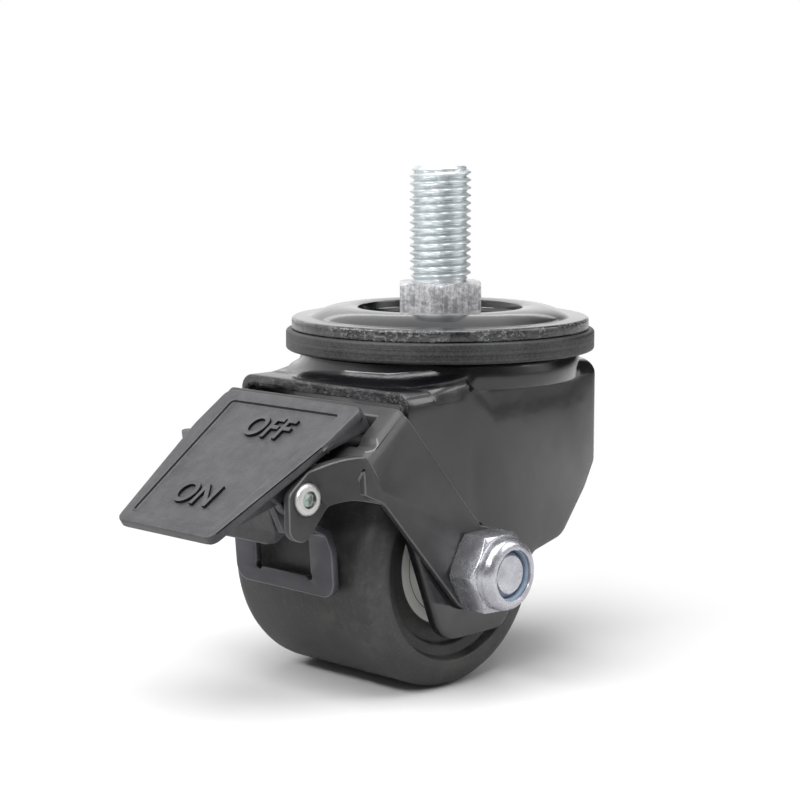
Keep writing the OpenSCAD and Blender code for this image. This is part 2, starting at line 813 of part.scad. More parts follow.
// Plate that the cam presses on the tread: window below, ears on the rivet
module brake_plate() {
    foot_z = axle_z - 4.4;
    foot_x = axle_x - sqrt(pow(wheel_r, 2) - 4.4 * 4.4) - brake_gap;
    bend_z = pivot_z - 10.6;
    bend_x = foot_x - (bend_z - foot_z) * 0.075;
    tab_x = pivot_x + 8.9;
    tab_z = pivot_z - 7.7;
    window_low = foot_z + 4.5;
    window_high = bend_z - 2.2;
    half = brake_w / 2;
    thick_x = brake_t / cos(4.3);
    color("dimgray")
        difference() {
            union() {
                intersection() {
                    slab(-half, half)
                        polygon([[foot_x, foot_z], [bend_x, bend_z], [tab_x, tab_z],
                                 [tab_x - brake_t * 0.71, tab_z - brake_t * 0.71],
                                 [bend_x - thick_x, bend_z - brake_t * 0.45], [foot_x - thick_x, foot_z]]);
                    translate([pivot_x - 5, 0, 0])
                        rotate([90, 0, 90])
                            linear_extrude(30)
                                polygon(rounded([
                                    [-half, foot_z - 0.1, 4.2], [half, foot_z - 0.1, 4.2],
                                    [half, bend_z - 4.5, 6], [ear_y, bend_z + 1, 3], [ear_y, tab_z + 1, 0],
                                    [-ear_y, tab_z + 1, 0], [-ear_y, bend_z + 1, 3], [-half, bend_z - 4.5, 6]]));
                }
                both_sides()
                    brake_ear(bend_x, bend_z, tab_x, tab_z);
            }
            translate([pivot_x, 0, 0])
                rotate([90, 0, 90])
                    linear_extrude(30) {
                        polygon(rounded([[-window_w / 2, window_low, 1], [window_w / 2, window_low, 1],
                                         [window_w / 2, window_high, 1], [-window_w / 2, window_high, 1]]));
                        for (side = [-1, 1])
                            translate([side * (window_w / 2 - 0.7), window_low + 0.2])
                                circle(1.1);
                    }
            rivet_bore(ear_y + 1);
        }
}

module brake_ear(bend_x, bend_z, tab_x, tab_z) {
    slab(ear_y - brake_t, ear_y) {
        polygon([[bend_x - 0.3, bend_z - 1], [tab_x - 0.4, tab_z + 0.2], [pivot_x + 4.4, pivot_z + 0.6],
                 [pivot_x - 4.3, pivot_z - 1.4], [pivot_x - 0.6, pivot_z - 9], [pivot_x + 2.6, pivot_z - 9.6]]);
        translate([pivot_x, pivot_z])
            circle(4.4);
    }
}

threaded_stem();
top_plate();
seal_ring();
upper_balls();
fork();
lower_balls();
lower_race();
king_pin_nut();
brake_bracket();
axle_bolt();
axle_nut();
nut_insert();
axle_spacers();
axle_sleeve();
bearing_inner_rings();
bearing_outer_rings();
bearing_balls();
bearing_cages();
bearing_shields();
wheel();
pedal_rivet();
brake_pedal();
brake_plate();
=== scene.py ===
import math

import bmesh
import bpy
from mathutils import Matrix, Vector
from mathutils.bvhtree import BVHTree
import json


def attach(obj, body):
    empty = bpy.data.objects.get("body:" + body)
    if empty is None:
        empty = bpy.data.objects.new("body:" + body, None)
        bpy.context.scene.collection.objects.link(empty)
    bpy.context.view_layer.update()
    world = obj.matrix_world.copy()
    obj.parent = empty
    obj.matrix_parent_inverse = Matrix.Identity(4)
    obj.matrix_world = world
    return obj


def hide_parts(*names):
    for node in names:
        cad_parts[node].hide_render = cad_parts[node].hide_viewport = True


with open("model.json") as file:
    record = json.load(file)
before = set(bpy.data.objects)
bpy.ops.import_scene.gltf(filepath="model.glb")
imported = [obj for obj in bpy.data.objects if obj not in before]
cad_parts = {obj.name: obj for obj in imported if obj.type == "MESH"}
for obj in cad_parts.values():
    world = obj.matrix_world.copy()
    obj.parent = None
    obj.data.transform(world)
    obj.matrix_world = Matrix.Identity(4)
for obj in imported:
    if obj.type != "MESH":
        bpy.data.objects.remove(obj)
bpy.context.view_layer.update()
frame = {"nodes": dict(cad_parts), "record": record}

mm = 0.001
bodyOf = {node: body for body, nodes in frame["record"]["behaviour"]["bodies"].items() for node in nodes}


# Shader maths as plain expressions: a wire is one output socket
class Wire:
    def __init__(self, paint, socket):
        self.paint = paint
        self.socket = socket

    def maths(self, operation, *values):
        return self.paint.node("ShaderNodeMath", {"operation": operation}, list(values))

    def __add__(self, other):
        return self.maths("ADD", self, other)

    def __sub__(self, other):
        return self.maths("SUBTRACT", self, other)

    def __mul__(self, other):
        return self.maths("MULTIPLY", self, other)

    def __rsub__(self, other):
        return self.maths("SUBTRACT", other, self)

    __radd__ = __add__
    __rmul__ = __mul__

    # 0 up to low, 1 from high on, and smooth between
    def rise(self, low, high):
        settings = {"interpolation_type": "SMOOTHSTEP"}
        values = {"Value": self, "From Min": low, "From Max": high}
        return self.paint.node("ShaderNodeMapRange", settings, values)

    # 1 inside low to high, with soft ends
    def between(self, low, high, soft):
        return self.rise(low - soft, low + soft) * (1 - self.rise(high - soft, high + soft))


# The node tree of one material, or of the world, and what every finish needs
class Paint:
    def __init__(self, name, world=None):
        self.owner = world or bpy.data.materials.new(name)
        self.owner.use_nodes = True
        self.tree = self.owner.node_tree
        self.tree.nodes.clear()
        self.place = self.node("ShaderNodeTexCoord", out="Object")

    # Any node: settings first, then the values or wires of its sockets
    def node(self, kind, settings=None, values=None, out=0):
        made = self.tree.nodes.new(kind)
        for key, value in (settings or {}).items():
            setattr(made, key, value)
        for key, value in (values.items() if isinstance(values, dict) else enumerate(values or [])):
            if isinstance(value, Wire):
                self.tree.links.new(value.socket, made.inputs[key])
            else:
                made.inputs[key].default_value = value
        return Wire(self, made.outputs[out]) if made.outputs else None

    def moved(self, centre=(0, 0, 0), stretch=(1, 1, 1)):
        shift = self.node("ShaderNodeVectorMath", {"operation": "SUBTRACT"}, [self.place, centre])
        return self.node("ShaderNodeMapping", {"vector_type": "POINT"}, {"Vector": shift, "Scale": stretch})

    def noise(self, scale, detail=2.0, rough=0.5, where=None):
        values = {"Vector": where or self.place, "Scale": scale, "Detail": detail, "Roughness": rough}
        return self.node("ShaderNodeTexNoise", {}, values)

    def part(self, axis):
        return self.node("ShaderNodeSeparateXYZ", {}, [self.place], axis)

    # Distance from an axis through centre that runs along X, Y or Z
    def reach(self, axis, centre=(0, 0, 0)):
        keep = {"X": (0, 1, 1), "Y": (1, 0, 1), "Z": (1, 1, 0)}[axis]
        where = self.moved(centre, keep)
        return self.node("ShaderNodeVectorMath", {"operation": "LENGTH"}, [where], "Value")

    # Fine rings round an axis, as turning leaves them
    def turning(self, scale, detail, rough, away):
        return self.noise(scale, detail, rough, self.node("ShaderNodeCombineXYZ", {}, [away, 0.0, 0.0]))

    def blend(self, share, first, second):
        first = first if isinstance(first, Wire) else (*first, 1)
        second = second if isinstance(second, Wire) else (*second, 1)
        return self.node("ShaderNodeMix", {"data_type": "RGBA"}, {0: share, 6: first, 7: second}, 2)

    # rounding blends the shading across sharp corners, as on drawn sheet
    def finish(self, colour, roughness, height, depth, rounding=0.0, **fixed):
        relief = {"Strength": 1.0, "Distance": depth, "Height": height}
        if rounding:
            relief["Normal"] = self.node("ShaderNodeBevel", {"samples": 6}, {"Radius": rounding})
        bump = self.node("ShaderNodeBump", {}, relief)
        values = {"Base Color": colour, "Roughness": roughness, "Normal": bump}
        for key, value in fixed.items():
            values[key.replace("_", " ")] = value
        shader = self.node("ShaderNodeBsdfPrincipled", {}, values)
        self.node("ShaderNodeOutputMaterial", {}, [shader])
        return self.owner


# Finishes
threadLook = {"dark": (0.54, 0.57, 0.58), "light": (0.74, 0.78, 0.79),
              "roughness": 0.42, "blotch": 0.2, "metal": 1.0}
hexLook = {"dark": (0.36, 0.36, 0.38), "light": (0.82, 0.82, 0.84), "roughness": 0.44}
nutLook = {"dark": (0.32, 0.32, 0.35), "light": (0.56, 0.56, 0.60),
           "roughness": 0.25, "blotch": 0.45, "metal": 0.8}
glossLook = {"dark": (0.005, 0.005, 0.006), "light": (0.012, 0.012, 0.013), "roughness": 0.15}
edgeTearAndGlintLook = {"dark": (0.003, 0.003, 0.004), "light": (0.19, 0.19, 0.194), "roughness": 0.10}
rivetLook = {"dark": (0.44, 0.44, 0.43), "light": (0.60, 0.59, 0.58), "roughness": 0.40,
             "film dark": (0.12, 0.17, 0.15), "film light": (0.46, 0.55, 0.51), "groove": (0.05, 0.05, 0.05)}
satinLook = {"dark": (0.024, 0.024, 0.025), "light": (0.050, 0.050, 0.051), "roughness": 0.42}
wheelLook = {"dark": (0.020, 0.020, 0.020), "light": (0.040, 0.039, 0.039),
             "dust": (0.085, 0.083, 0.080), "roughness": 0.50}
pedalLook = {"dark": (0.026, 0.025, 0.028), "light": (0.072, 0.070, 0.074), "roughness": 0.44}
# Near-black nylon for the pedal's recess walls and letter side walls: painted shade
shadedWallLook = {"dark": (0.004, 0.004, 0.004), "light": (0.012, 0.012, 0.012), "roughness": 0.7}
sealLook = {"dark": (0.008, 0.008, 0.009), "light": (0.068, 0.068, 0.069), "roughness": 0.46}
shieldLook = {"dark": (0.80, 0.79, 0.74), "light": (0.94, 0.93, 0.89),
              "line": (0.05, 0.05, 0.05), "roughness": 0.34}
ringLook = {"dark": (0.74, 0.73, 0.69), "light": (0.88, 0.87, 0.83),
            "line": (0.04, 0.04, 0.04), "roughness": 0.36}
insertLook = {"dark": (0.26, 0.32, 0.42), "light": (0.42, 0.50, 0.62), "roughness": 0.38}
axlePlace = (-20.4 * mm, 0, -68.51 * mm)
rivetPlace = (-69.3 * mm, 0, -45.9 * mm)


# Bright zinc: pale crystals, a few dull patches and fine lines round the turned axis
def zinc(name, look, axis="Z", centre=(0, 0, 0)):
    paint = Paint(name)
    along = {"Y": (0.06, 1, 0.06), "Z": (0.06, 0.06, 1)}[axis]
    blotch = paint.noise(260, 4, 0.6)
    grain = paint.noise(2600, 2, 0.5)
    ringed = paint.noise(5200, 2, 0.6, paint.moved(centre, along))
    aroundAxis = paint.turning(4200, 1, 0.5, paint.reach(axis, centre))
    crystals = blotch * look["blotch"] + (0.5 - 0.5 * look["blotch"])
    shade = (crystals + grain * 0.25 + ringed * 0.3 - 0.275).rise(0.30, 0.72)
    colour = paint.blend(shade, look["dark"], look["light"])
    rough = look["roughness"] + (blotch - 0.5) * 0.22 + (grain - 0.5) * 0.10
    height = grain * 0.35 + (ringed + aroundAxis) * 0.3 + blotch * look["blotch"]
    return paint.finish(colour, rough, height, 0.000035, Metallic=look["metal"])


# Rolled hexagon bar: upright drawing marks and small nicks over the zinc
def drawnBar(name, look):
    paint = Paint(name)
    marks = paint.noise(1700, 3, 0.65, paint.moved((0, 0, 0), (1, 1, 0.05)))
    nick = paint.noise(900, 4, 0.7)
    cloud = paint.noise(190, 3, 0.55)
    shade = (marks * 0.25 + nick * 0.50 + cloud * 0.25).rise(0.38, 0.62)
    colour = paint.blend(shade, look["dark"], look["light"])
    rough = look["roughness"] + (nick - 0.5) * 0.3
    return paint.finish(colour, rough, marks * 0.3 + nick * 0.8, 0.00014, Metallic=1.0)


# Gloss black paint on pressed steel, with a slight orange peel and dust in it
def glossBlack(name, coat, specular, rounding=0.0, waves=2.6):
    paint = Paint(name)
    peel = paint.noise(420, 3, 0.55)
    wave = paint.noise(62, 2, 0.5)
    speck = paint.noise(3000, 1, 0.5).rise(0.70, 0.76)
    colour = paint.blend(wave.rise(0.35, 0.7) * 0.8 + speck * 0.2, glossLook["dark"], glossLook["light"])
    rough = glossLook["roughness"] + (wave - 0.5) * 0.12 + (peel - 0.5) * 0.08 + speck * 0.08
    height = peel * 0.35 + wave * waves + speck * 0.08
    fixed = {"Coat_Weight": coat, "Coat_Roughness": 0.08, "Specular_IOR_Level": specular}
    return paint.finish(colour, rough, height, 0.00010, rounding, **fixed)


# The same paint on a sheared edge: rougher, with torn upright lines; its pale flecks are partly torn edge and
# partly painted glints
def shearedBlack(name, spread=1.0):
    paint = Paint(name)
    torn = paint.noise(900, 4, 0.7, paint.moved((0, 0, 0), (1, 1, 1.4)))
    fleck = paint.noise(700, 3, 0.7)
    patch = paint.noise(90, 2, 0.5).rise(0.42, 0.62)
    # pale flecks in patches: torn edge with painted glints on it
    shade = (torn * 0.6 + fleck * 0.4).rise(0.48, 0.60) * (0.12 + patch * 0.88) * spread
    colour = paint.blend(shade, edgeTearAndGlintLook["dark"], edgeTearAndGlintLook["light"])
    rough = edgeTearAndGlintLook["roughness"] + fleck * 0.24
    height = torn * patch + fleck * 0.2
    return paint.finish(colour, rough, height, 0.0016, Coat_Weight=0.7, Coat_Roughness=0.08)


# The rivet's flared head is brighter than its hollow, which holds a dark, greenish film
def rivetSteel(name):
    paint = Paint(name)
    away = paint.reach("Y", rivetPlace)
    blotch = paint.noise(800, 3, 0.6)
    patch = paint.noise(430, 2, 0.5)
    hollow = 1 - away.rise(1.5 * mm, 1.8 * mm)
    groove = away.between(1.65 * mm, 2.1 * mm, 0.12 * mm) * patch.rise(0.30, 0.55)
    head = paint.blend(blotch, rivetLook["dark"], rivetLook["light"])
    film = paint.blend(patch.rise(0.40, 0.58), rivetLook["film dark"], rivetLook["film light"])
    colour = paint.blend(groove * 0.85, paint.blend(hollow, head, film), rivetLook["groove"])
    rough = rivetLook["roughness"] + (blotch - 0.5) * 0.2
    return paint.finish(colour, rough, blotch + patch, 0.00008, Metallic=0.85)


# Satin black coating: fine grain, slightly cloudy; a paler copy goes on the rounded sheet edges, partly wear
# and partly painted highlight
def satinBlack(name, lift=1.0, roughness=None, specular=0.4, tint=(1, 1, 1)):
    paint = Paint(name)
    cloud = paint.noise(75, 3, 0.55)
    grain = paint.noise(2200, 2, 0.55)
    scuff = paint.noise(240, 4, 0.7, paint.moved((0, 0, 0), (1, 0.25, 1))).rise(0.60, 0.80)
    dark = tuple(value * lift * share for value, share in zip(satinLook["dark"], tint))
    light = tuple(value * lift * share for value, share in zip(satinLook["light"], tint))
    colour = paint.blend(cloud.rise(0.3, 0.7) * 0.6 + scuff * 0.4, dark, light)
    rough = (roughness or satinLook["roughness"]) + (cloud - 0.5) * 0.14 + (grain - 0.5) * 0.12
    height = grain * 0.5 + cloud * 0.9
    return paint.finish(colour, rough, height, 0.00006, 0.9 * mm, Specular_IOR_Level=specular)


# Moulded nylon: spark-textured skin with a faint flow pattern
def moulded(name, look, depth, specular=0.4):
    paint = Paint(name)
    grain = paint.noise(1700, 3, 0.6)
    cloud = paint.noise(48, 3, 0.5)
    fine = paint.noise(4590, 1, 0.5)
    mottle = paint.noise(330, 4, 0.65)
    skin = (grain * 0.6 + fine * 0.4).rise(0.35, 0.7)
    shade = cloud.rise(0.3, 0.7) * 0.35 + skin * 0.35 + mottle.rise(0.35, 0.68) * 0.3
    colour = paint.blend(shade, look["dark"], look["light"])
    rough = look["roughness"] + (cloud - 0.5) * 0.16 + (grain - 0.5) * 0.14
    height = grain * 0.7 + fine * 0.3 + mottle * 0.6
    return paint.finish(colour, rough, height, depth, Specular_IOR_Level=specular)


# Dark ring under the top plate: fine moulded lines that run round it
def sealPlastic(name):
    paint = Paint(name)
    level = paint.node("ShaderNodeCombineXYZ", {}, [paint.reach("Z") * 0.3, 0.0, paint.part("Z")])
    lines = paint.noise(3600, 2, 0.6, level)
    grain = paint.noise(1500, 3, 0.6)
    cloud = paint.noise(60, 3, 0.55)
    shade = lines.rise(0.35, 0.7) * 0.4 + grain.rise(0.35, 0.7) * 0.3 + cloud.rise(0.3, 0.7) * 0.3
    colour = paint.blend(shade, sealLook["dark"], sealLook["light"])
    rough = sealLook["roughness"] + (cloud - 0.5) * 0.16 + (lines - 0.5) * 0.16
    return paint.finish(colour, rough, lines * 0.7 + grain * 0.5, 0.00014, Specular_IOR_Level=0.25)


# Tread of the wheel: moulded skin, faint rings round the axle and a little dust
def treadNylon(name):
    paint = Paint(name)
    along = paint.node("ShaderNodeCombineXYZ", {}, [paint.part("Y"), paint.reach("Y", axlePlace), 0.0])
    ring = paint.noise(900, 2, 0.6, along)
    cloud = paint.noise(42, 3, 0.55)
    grain = paint.noise(1900, 3, 0.6)
    patch = paint.noise(110, 5, 0.72)
    dust = patch.rise(0.44, 0.66)
    nick = paint.noise(900, 3, 0.7).rise(0.60, 0.70)
    shade = cloud.rise(0.3, 0.72) * 0.5 + ring.rise(0.35, 0.7) * 0.25 + grain.rise(0.35, 0.7) * 0.25
    plain = paint.blend(shade, wheelLook["dark"], wheelLook["light"])
    colour = paint.blend(dust * 0.45 + nick * 0.5, plain, wheelLook["dust"])
    rough = wheelLook["roughness"] + (cloud - 0.5) * 0.16 + (grain - 0.5) * 0.14 + dust * 0.12
    height = grain * 0.5 + ring * 0.3 + cloud * 0.6 + patch * 0.8 - nick * 0.5
    return paint.finish(colour, rough, height, 0.00009)


# Plain turned or pressed steel
def plainSteel(name, dark, light, roughness, axis="Y", centre=axlePlace):
    paint = Paint(name)
    blotch = paint.noise(210, 3, 0.6)
    turning = paint.turning(3800, 2, 0.6, paint.reach(axis, centre))
    colour = paint.blend(blotch * 0.5 + turning * 0.5, dark, light)
    rough = roughness + (blotch - 0.5) * 0.15 + (turning - 0.5) * 0.12
    return paint.finish(colour, rough, turning, 0.00002, Metallic=1.0)


# Dished bearing shield: pale, with a dark ring where it meets the inner race
def shieldSteel(name):
    paint = Paint(name)
    away = paint.reach("Y", axlePlace)
    line = away.between(9.0 * mm, 9.7 * mm, 0.1 * mm)
    blotch = paint.noise(150, 3, 0.55)
    turning = paint.turning(3000, 2, 0.5, away)
    plain = paint.blend(blotch * 0.6 + turning * 0.4, shieldLook["dark"], shieldLook["light"])
    colour = paint.blend(line, plain, shieldLook["line"])
    rough = shieldLook["roughness"] + (blotch - 0.5) * 0.2
    return paint.finish(colour, rough, turning, 0.00002, Metallic=0.05)


# Ground ring of the bearing: pale and dull where it faces out, with a dark line at each edge
def ringSteel(name):
    paint = Paint(name)
    away = paint.reach("Y", axlePlace)
    line = away.between(12.5 * mm, 13.1 * mm, 0.08 * mm) + away.between(15.7 * mm, 16.4 * mm, 0.08 * mm)
    blotch = paint.noise(210, 3, 0.6)
    turning = paint.turning(3800, 2, 0.6, away)
    plain = paint.blend(blotch * 0.5 + turning * 0.5, ringLook["dark"], ringLook["light"])
    colour = paint.blend(line * 0.9, plain, ringLook["line"])
    rough = ringLook["roughness"] + (blotch - 0.5) * 0.15
    return paint.finish(colour, rough, turning, 0.00002, Metallic=0.2)


# Pale blue nylon of the lock nut's insert
def insertNylon(name):
    paint = Paint(name)
    cloud = paint.noise(500, 3, 0.5)
    colour = paint.blend(cloud, insertLook["dark"], insertLook["light"])
    rough = insertLook["roughness"] + (cloud - 0.5) * 0.2
    return paint.finish(colour, rough, cloud, 0.00003, Subsurface_Weight=0.15)


finishes = {
    "zinc": zinc("threadZinc", threadLook),
    "hexZinc": drawnBar("hexagonZinc", hexLook),
    "axleZinc": zinc("nutZinc", nutLook, "Y", axlePlace),
    "rivetZinc": rivetSteel("rivetZinc"),
    "plateGloss": glossBlack("plateBlackPaint", 0.45, 0.6),
    "gloss": glossBlack("forkBlackPaint", 0.6, 0.35, 2.2 * mm, 6.0),
    # sheared plate rim and tongue lip: pale flecks are partly painted glints
    "plateEdge": shearedBlack("shearedEdgePaint"),
    "lipEdge": shearedBlack("lipEdgePaint", 0.5),
    "satin": satinBlack("satinBlackCoat"),
    # rounded sheet edges: satin lifted paler, partly wear and partly painted highlight
    "satinEdgeWearAndHighlight": satinBlack("satinBlackEdgeWearAndHighlight", 3.2, 0.34, 0.5),
    "coolSatin": satinBlack("brakePlateCoat", 1.6, 0.42, 0.4, (0.95, 0.95, 1.12)),
    "seal": sealPlastic("sealPlastic"),
    "tread": treadNylon("wheelNylon"),
    "pedal": moulded("pedalNylon", pedalLook, 0.00008),
    # the same nylon made near black for steep walls: painted shade
    "pedalWallShade": moulded("pedalNylonPaintedShade", shadedWallLook, 0.00004, 0.15),
    "ball": plainSteel("ballSteel", (0.60, 0.60, 0.61), (0.74, 0.74, 0.74), 0.12, "Z", (0, 0, 0)),
    "race": plainSteel("raceSteel", (0.30, 0.30, 0.30), (0.46, 0.46, 0.45), 0.36, "Z", (0, 0, 0)),
    "bearing": plainSteel("bearingSteel", (0.52, 0.52, 0.52), (0.68, 0.68, 0.68), 0.2),
    "cage": plainSteel("cageSteel", (0.42, 0.40, 0.36), (0.58, 0.56, 0.50), 0.34),
    "shield": shieldSteel("shieldSteel"),
    "ring": ringSteel("outerRingSteel"),
    "insert": insertNylon("insertNylon"),
}
nodeFinish = {
    "threaded_stem": "zinc", "top_plate": "plateGloss", "seal_ring": "seal", "upper_balls": "ball",
    "fork": "gloss", "lower_balls": "ball", "lower_race": "race", "king_pin_nut": "zinc",
    "brake_bracket": "satin", "axle_bolt": "axleZinc", "axle_nut": "axleZinc", "nut_insert": "insert",
    "axle_spacers": "axleZinc", "axle_sleeve": "race", "bearing_inner_rings": "bearing",
    "bearing_outer_rings": "ring", "bearing_balls": "bearing", "bearing_cages": "cage",
    "bearing_shields": "shield", "wheel": "tread", "pedal_rivet": "rivetZinc", "brake_pedal": "pedal",
    "brake_plate": "coolSatin",
}
for nodeName, finishName in nodeFinish.items():
    for slot in frame["nodes"][nodeName].material_slots:
        slot.material = finishes[finishName]
print("finishes:", len(finishes))


# A finished piece from a mesh whose points are already in place
def addPiece(name, mesh, body, materials, smoothAngle):
    piece = bpy.data.objects.new(name, mesh)
    bpy.context.scene.collection.objects.link(piece)
    for spot, material in enumerate(materials):
        if spot < len(mesh.materials):
            mesh.materials[spot] = material
        else:
            mesh.materials.append(material)
    mesh.polygons.foreach_set("use_smooth", [True] * len(mesh.polygons))
    mesh.update()
    mesh.set_sharp_from_angle(angle=math.radians(smoothAngle))
    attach(piece, body)
    return piece


def meshFrom(shape, name):
    mesh = bpy.data.meshes.new(name)
    shape.to_mesh(mesh)
    shape.free()
    return mesh


# The evaluated object as a plain mesh, with its helper removed
def bakedMesh(helper, name):
    bpy.context.view_layer.update()
    scratch = bpy.data.meshes.new_from_object(helper.evaluated_get(bpy.context.evaluated_depsgraph_get()))
    scratch.name = name
    bpy.data.objects.remove(helper)
    return scratch


rounding = {"segments": 2, "sharper than": 32, "smooth up to": 28, "farthest": 0.55, "weld": 0.004,
            "flat": 0.6}


# A copy of a CAD piece with its sharp edges rounded over
# rim picks the faces that take the edge's finish, which are the rounded ones without it
def soften(nodeName, pieceName, width, finishName, edgeFinish=None, rim=None):
    source = frame["nodes"][nodeName]
    shape = bmesh.new()
    shape.from_mesh(source.data)
    surface = BVHTree.FromBMesh(shape)
    bmesh.ops.remove_doubles(shape, verts=shape.verts, dist=rounding["weld"] * mm)
    flat = math.radians(rounding["flat"])
    bmesh.ops.dissolve_limit(shape, angle_limit=flat, verts=shape.verts, edges=shape.edges)
    helper = bpy.data.objects.new(pieceName + "Helper", meshFrom(shape, pieceName + "Rough"))
    bpy.context.scene.collection.objects.link(helper)
    materials = [finishes[finishName]] + ([finishes[edgeFinish]] if edgeFinish else [])
    helper.data.materials.clear()
    for material in materials:
        helper.data.materials.append(material)
    bevel = helper.modifiers.new("edges", "BEVEL")
    bevel.limit_method = "ANGLE"
    bevel.angle_limit = math.radians(rounding["sharper than"])
    bevel.width = width * mm
    bevel.segments = rounding["segments"]
    bevel.use_clamp_overlap = False
    bevel.miter_outer = "MITER_ARC"
    if edgeFinish and not rim:
        bevel.material = 1
    mesh = bakedMesh(helper, pieceName)
    # a point thrown off by a tight corner goes back to the surface
    for point in mesh.vertices:
        spot, _, _, away = surface.find_nearest(point.co)
        if away > rounding["farthest"] * width * mm:
            point.co = spot
    mesh.update()
    if rim:
        for face in mesh.polygons:
            if rim(face.center, face.normal):
                face.material_index = 1
    piece = addPiece(pieceName, mesh, bodyOf[nodeName], materials, rounding["smooth up to"])
    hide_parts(nodeName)
    return piece


# Threads: a grid bent round an axis by a node tree, with its crests on a helix
def threadTree():
    tree = bpy.data.node_groups.new("threadedRod", "GeometryNodeTree")
    for name in ("crest radius", "depth", "pitch", "length", "end chamfer", "runout"):
        tree.interface.new_socket(name, in_out="INPUT", socket_type="NodeSocketFloat")
    tree.interface.new_socket("finish", in_out="INPUT", socket_type="NodeSocketMaterial")
    tree.interface.new_socket("rod", in_out="OUTPUT", socket_type="NodeSocketGeometry")
    given = tree.nodes.new("NodeGroupInput").outputs
    leave = tree.nodes.new("NodeGroupOutput")
    columns, rows = 73, 213

    def add(kind, settings=None, values=None, out=0):
        made = tree.nodes.new(kind)
        for key, value in (settings or {}).items():
            setattr(made, key, value)
        for key, value in (values.items() if isinstance(values, dict) else enumerate(values or [])):
            if isinstance(value, bpy.types.NodeSocket):
                tree.links.new(value, made.inputs[key])
            else:
                made.inputs[key].default_value = value
        return made.outputs[out]

    def sums(operation, *values):
        return add("ShaderNodeMath", {"operation": operation}, list(values))

    size = {"Size X": 1.0, "Size Y": 1.0, "Vertices X": columns, "Vertices Y": rows}
    grid = add("GeometryNodeMeshGrid", {}, size)
    place = add("GeometryNodeInputPosition")
    across = add("ShaderNodeSeparateXYZ", {}, [place], "X")
    upwards = add("ShaderNodeSeparateXYZ", {}, [place], "Y")
    turn = sums("MULTIPLY", sums("ADD", across, 0.5), 2 * math.pi)
    # the first and the last row reach past the ends, and close them
    share = sums("MULTIPLY", sums("ADD", upwards, 0.5), (rows - 1) / (rows - 3))
    raw = sums("MULTIPLY", sums("SUBTRACT", share, 1 / (rows - 3)), given["length"])
    level = sums("MINIMUM", sums("MAXIMUM", raw, 0.0), given["length"])
    inside = sums("COMPARE", raw, level, 1e-7)
    pitches = sums("DIVIDE", level, given["pitch"])
    phase = sums("FRACT", sums("SUBTRACT", pitches, sums("ADD", across, 0.5)))
    flank = sums("MULTIPLY", sums("ABSOLUTE", sums("SUBTRACT", phase, 0.5)), 2.0)
    slope = {"Value": flank, "From Min": 0.16, "From Max": 0.84}
    crest = add("ShaderNodeMapRange", {"interpolation_type": "LINEAR"}, slope)
    groove = sums("MULTIPLY", sums("SUBTRACT", 1.0, crest), given["depth"])
    cut = sums("SUBTRACT", given["crest radius"], groove)
    topEdge = sums("SUBTRACT", given["crest radius"], given["end chamfer"])
    topCone = sums("ADD", topEdge, sums("SUBTRACT", given["length"], level))
    lowCone = sums("ADD", sums("SUBTRACT", given["crest radius"], given["runout"]), level)
    radius = sums("MULTIPLY", sums("MINIMUM", sums("MINIMUM", cut, topCone), lowCone), inside)
    xPlace = sums("MULTIPLY", radius, sums("COSINE", turn))
    yPlace = sums("MULTIPLY", radius, sums("SINE", turn))
    ringPlace = add("ShaderNodeCombineXYZ", {}, [xPlace, yPlace, level])
    bent = add("GeometryNodeSetPosition", {}, {"Geometry": grid, "Position": ringPlace})
    closed = add("GeometryNodeMergeByDistance", {}, {"Geometry": bent, "Distance": 0.000001})
    real = add("GeometryNodeRealizeInstances", {}, {"Geometry": closed})
    dressed = add("GeometryNodeSetMaterial", {}, {"Geometry": real, "Material": given["finish"]})
    tree.links.new(dressed, leave.inputs["rod"])
    return tree


rodTree = threadTree()


def threadedRod(name, sizes, finish):
    helper = bpy.data.objects.new(name + "Helper", bpy.data.meshes.new(name + "Rough"))
    bpy.context.scene.collection.objects.link(helper)
    modifier = helper.modifiers.new("thread", "NODES")
    modifier.node_group = rodTree
    for item in rodTree.interface.items_tree:
        if item.in_out == "INPUT":
            modifier[item.identifier] = finish if item.name == "finish" else sizes[item.name] * mm
    shape = bmesh.new()
    shape.from_mesh(bakedMesh(helper, name))
    bmesh.ops.recalc_face_normals(shape, faces=shape.faces)
    for face in shape.faces:
        face.material_index = 0
    return shape


# Turned solid from a half section of radius and height
def turned(shape, section, place=None):
    steps = 96
    rings = []
    for radius, height in section:
        if radius < 1e-6:
            rings.append([shape.verts.new((0, 0, height * mm))])
        else:
            rings.append([shape.verts.new((radius * mm * math.cos(a), radius * mm * math.sin(a), height * mm))
                          for a in (2 * math.pi * i / steps for i in range(steps))])
    loops = list(zip(rings, rings[1:]))
    if section[0][0] > 1e-6:
        loops.append((rings[-1], rings[0]))
    made = []
    for low, high in loops:
        for i in range(steps):
            j = (i + 1) % steps
            corners = [low[i % len(low)], low[j % len(low)], high[j % len(high)], high[i % len(high)]]
            corners = list(dict.fromkeys(corners))
            if len(corners) > 2:
                made.append(shape.faces.new(corners))
    if place:
        bmesh.ops.transform(shape, matrix=place, verts=[point for ring in rings for point in ring])
    bmesh.ops.recalc_face_normals(shape, faces=made)


